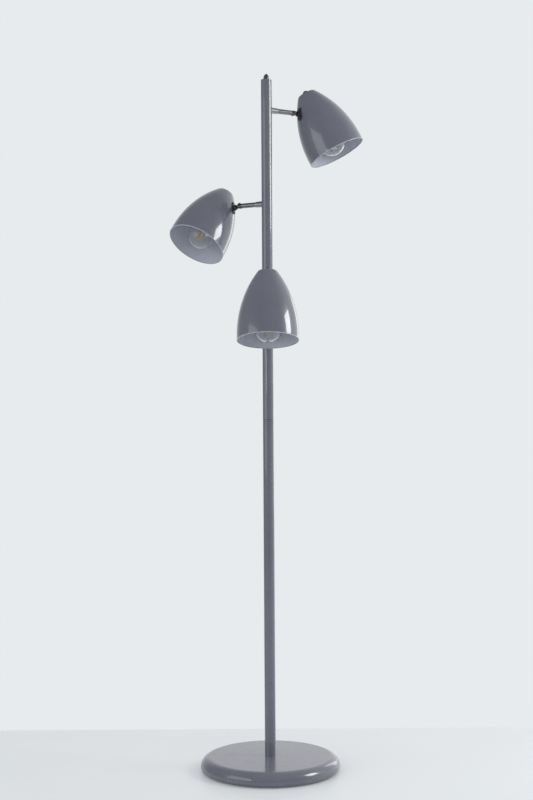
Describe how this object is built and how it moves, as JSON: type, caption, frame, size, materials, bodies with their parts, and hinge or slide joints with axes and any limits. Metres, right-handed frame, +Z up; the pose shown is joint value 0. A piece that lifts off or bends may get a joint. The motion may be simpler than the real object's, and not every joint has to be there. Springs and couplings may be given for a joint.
{
  "type": "floor lamp",
  "caption": "Floor lamp: slim two-part pole on a low round weighted base, with bell-shaped spotlights on short arms, each with a turning rod and a bending knuckle.",
  "frame": {"origin": "on the floor at the centre of the round base, under the pole", "axes": "+Z up along the pole; the lower spotlight's arm points along -Y, the upper one's 30 degrees and the middle one's 150 degrees anticlockwise from +X"},
  "size_m": [0.4239, 0.3641, 1.5],
  "materials": {
    "paint": "gloss",
    "dark_chrome": "polished",
    "zinc": "satin",
    "screw": "satin",
    "iron": "matte",
    "pad": "matte",
    "rubber": "matte",
    "black_plastic": "satin",
    "sleeve": "matte",
    "bulb_metal": "satin",
    "clear_glass": "polished",
    "amber": "satin"
  },
  "bodies": {
    "stand": {"base_shell": "paint", "base_ballast": "iron", "base_pad": "pad", "base_nut": "zinc", "cord_grommet": "rubber", "pole_stud": "zinc", "lower_tube": "paint", "tube_joint": "paint", "upper_tube": "paint", "pole_cap": "paint", "finial": "dark_chrome", "upper_collar": "dark_chrome", "middle_collar": "dark_chrome", "lower_collar": "dark_chrome"},
    "upper_arm": {"upper_rod": "dark_chrome", "upper_rod_clip": "zinc", "upper_knuckle_screw": "screw"},
    "upper_head": {"upper_knuckle_stub": "dark_chrome", "upper_shade_flange": "black_plastic", "upper_shade_nut": "zinc", "upper_shade": "paint", "upper_top_nut": "black_plastic", "upper_holder_stud": "zinc", "upper_holder_cap": "black_plastic", "upper_lampholder": "black_plastic", "upper_lead": "sleeve", "upper_bulb_cap": "bulb_metal", "upper_bulb_glass": "clear_glass", "upper_bulb_filament": "amber"},
    "middle_arm": {"middle_rod": "dark_chrome", "middle_rod_clip": "zinc", "middle_knuckle_screw": "screw"},
    "middle_head": {"middle_knuckle_stub": "dark_chrome", "middle_shade_flange": "black_plastic", "middle_shade_nut": "zinc", "middle_shade": "paint", "middle_top_nut": "black_plastic", "middle_holder_stud": "zinc", "middle_holder_cap": "black_plastic", "middle_lampholder": "black_plastic", "middle_lead": "sleeve", "middle_bulb_cap": "bulb_metal", "middle_bulb_glass": "clear_glass", "middle_bulb_filament": "amber"},
    "lower_arm": {"lower_rod": "dark_chrome", "lower_rod_clip": "zinc", "lower_knuckle_screw": "screw"},
    "lower_head": {"lower_knuckle_stub": "dark_chrome", "lower_shade_flange": "black_plastic", "lower_shade_nut": "zinc", "lower_shade": "paint", "lower_top_nut": "black_plastic", "lower_holder_stud": "zinc", "lower_holder_cap": "black_plastic", "lower_lampholder": "black_plastic", "lower_lead": "sleeve", "lower_bulb_cap": "bulb_metal", "lower_bulb_glass": "clear_glass", "lower_bulb_filament": "amber"}
  },
  "joints": [
    {"name": "upper_turn", "type": "hinge", "parent": "stand", "child": "upper_arm", "pos_m": [0, 0, 1.422], "axis": [0.866, 0.5, 0], "range_deg": [-151.8, 188.2]},
    {"name": "upper_bend", "type": "hinge", "parent": "upper_arm", "child": "upper_head", "pos_m": [0.05854, 0.0338, 1.422], "axis": [-0.475, 0.8227, -0.3123], "range_deg": [-4, 41]},
    {"name": "middle_turn", "type": "hinge", "parent": "stand", "child": "middle_arm", "pos_m": [0, 0, 1.22], "axis": [-0.866, 0.5, 0], "range_deg": [-206, 134]},
    {"name": "middle_bend", "type": "hinge", "parent": "middle_arm", "child": "middle_head", "pos_m": [-0.05854, 0.0338, 1.22], "axis": [-0.4045, -0.7006, 0.5878], "range_deg": [-16.1, 28.9]},
    {"name": "lower_turn", "type": "hinge", "parent": "stand", "child": "lower_arm", "pos_m": [0, 0, 1.018], "axis": [0, -1, 0], "range_deg": [-170, 170]},
    {"name": "lower_bend", "type": "hinge", "parent": "lower_arm", "child": "lower_head", "pos_m": [0, -0.0676, 1.018], "axis": [1, 0, 0], "range_deg": [-11.4, 33.6]}
  ]
}
